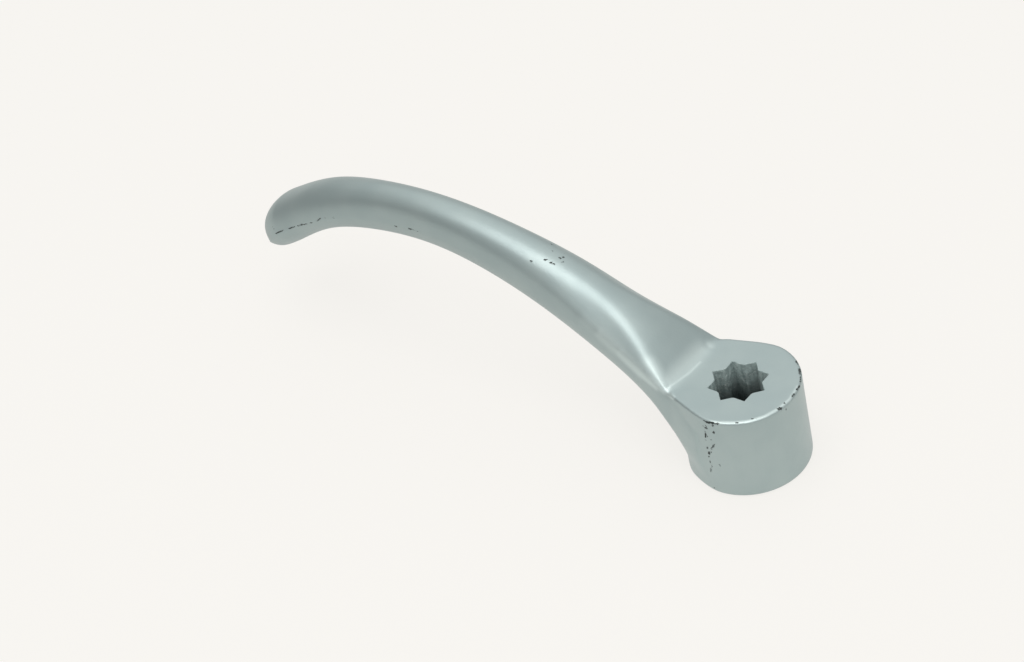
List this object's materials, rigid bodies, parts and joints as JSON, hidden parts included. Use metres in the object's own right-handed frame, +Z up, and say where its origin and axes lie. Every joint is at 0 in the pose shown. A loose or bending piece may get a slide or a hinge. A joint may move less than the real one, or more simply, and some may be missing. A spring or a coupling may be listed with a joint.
{
  "type": "car interior door handle",
  "caption": "Cast lever handle for the inside of a car door: a round boss with a star-shaped spindle socket and a swan-neck arm that arches over and curls down into a broad fingertip grip.",
  "frame": {"origin": "on the axis of the boss and its spindle socket, in the plane of the boss's lower face, which goes against the door", "axes": "+Z up the spindle's axis, away from the door; +X along the arm, from the boss to the fingertip grip; +Y across it, so that XZ is the casting's plane of symmetry"},
  "size_m": [0.1266, 0.023, 0.0378],
  "materials": {
    "lever": "satin silver-grey paint with a soft metallic sheen, chipped through to a dark base along the parting line and on the edges"
  },
  "bodies": {
    "root": {"door_lever": "lever"}
  },
  "joints": []
}
